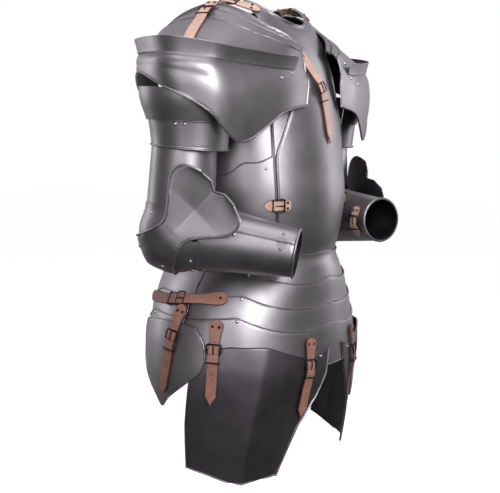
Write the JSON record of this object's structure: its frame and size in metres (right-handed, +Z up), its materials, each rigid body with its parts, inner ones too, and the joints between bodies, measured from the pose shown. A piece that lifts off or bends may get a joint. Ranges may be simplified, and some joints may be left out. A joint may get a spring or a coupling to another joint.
{
  "type": "suit of plate armour",
  "caption": "Worn-shape half armour of steel plates, empty: cuirass, laminated skirt, tassets, winged pauldrons and bent arms with vambraces, held by leather straps and buckles.",
  "frame": {"origin": "midway between the wearer's shoulders, level with the top edges of the pauldrons, where the suit is worn", "axes": "front of the armour faces -Y, the wearer's right is -X, +Z is up"},
  "size_m": [0.6087, 0.3727, 0.8147],
  "materials": {
    "satin_steel": "satin polished plate steel",
    "dark_steel": "darker satin plate steel",
    "pale_leather": "pale tan strap leather",
    "brown_leather": "red-brown strap leather"
  },
  "bodies": {
    "suit": {"back_lower": "satin_steel", "back_upper": "satin_steel", "breastplate": "satin_steel", "culet_lame_1": "satin_steel", "culet_lame_2": "satin_steel", "culet_lame_3": "satin_steel", "culet_lame_4": "satin_steel", "fauld_lame_1": "satin_steel", "fauld_lame_2": "satin_steel", "fauld_lame_3": "satin_steel", "fauld_lame_4": "satin_steel", "breast_strap": "pale_leather", "right_arm_lame_lower": "satin_steel", "right_arm_lame_upper": "satin_steel", "right_elbow_lame_upper": "satin_steel", "right_flange": "satin_steel", "right_gusset": "satin_steel", "right_neck_lame": "satin_steel", "right_pauldron": "satin_steel", "right_shoulder_lame": "satin_steel", "right_upper_cannon": "satin_steel", "right_front_tasset": "dark_steel", "right_side_tasset": "dark_steel", "right_inner_tasset_strap": "brown_leather", "right_outer_tasset_strap": "brown_leather", "right_side_tasset_strap": "brown_leather", "right_skirt_strap": "brown_leather", "right_pauldron_strap": "pale_leather", "right_shoulder_strap": "pale_leather", "right_waist_strap": "pale_leather", "left_arm_lame_lower": "satin_steel", "left_arm_lame_upper": "satin_steel", "left_elbow_lame_upper": "satin_steel", "left_flange": "satin_steel", "left_gusset": "satin_steel", "left_neck_lame": "satin_steel", "left_pauldron": "satin_steel", "left_shoulder_lame": "satin_steel", "left_upper_cannon": "satin_steel", "left_front_tasset": "dark_steel", "left_side_tasset": "dark_steel", "left_inner_tasset_strap": "brown_leather", "left_outer_tasset_strap": "brown_leather", "left_side_tasset_strap": "brown_leather", "left_skirt_strap": "brown_leather", "left_pauldron_strap": "pale_leather", "left_shoulder_strap": "pale_leather", "left_waist_strap": "pale_leather"},
    "right_forearm": {"right_elbow_lame_lower": "satin_steel", "right_vambrace_hinge": "satin_steel", "right_vambrace_lower": "satin_steel", "right_vambrace_upper": "satin_steel", "right_vambrace_strap": "pale_leather"},
    "left_forearm": {"left_elbow_lame_lower": "satin_steel", "left_vambrace_hinge": "satin_steel", "left_vambrace_lower": "satin_steel", "left_vambrace_upper": "satin_steel", "left_vambrace_strap": "pale_leather"},
    "right_cop": {"right_couter": "satin_steel"},
    "left_cop": {"left_couter": "satin_steel"}
  },
  "joints": [
    {"name": "right_elbow", "type": "hinge", "parent": "suit", "child": "right_forearm", "pos_m": [-0.232, -0.006, -0.373], "axis": [-0.9135, -0.4067, 0], "range_deg": [-20, 15]},
    {"name": "right_cop_turn", "type": "hinge", "parent": "suit", "child": "right_cop", "pos_m": [-0.232, -0.006, -0.373], "axis": [-0.9135, -0.4067, 0], "range_deg": [-10, 7.5]},
    {"name": "left_elbow", "type": "hinge", "parent": "suit", "child": "left_forearm", "pos_m": [0.232, -0.006, -0.373], "axis": [-0.9063, 0.4226, 0], "range_deg": [-20, 15]},
    {"name": "left_cop_turn", "type": "hinge", "parent": "suit", "child": "left_cop", "pos_m": [0.232, -0.006, -0.373], "axis": [-0.9063, 0.4226, 0], "range_deg": [-10, 7.5]}
  ],
  "couplings": [
    {"joint": "right_cop_turn", "follows": "right_elbow", "ratio": 0.5},
    {"joint": "left_cop_turn", "follows": "left_elbow", "ratio": 0.5}
  ]
}
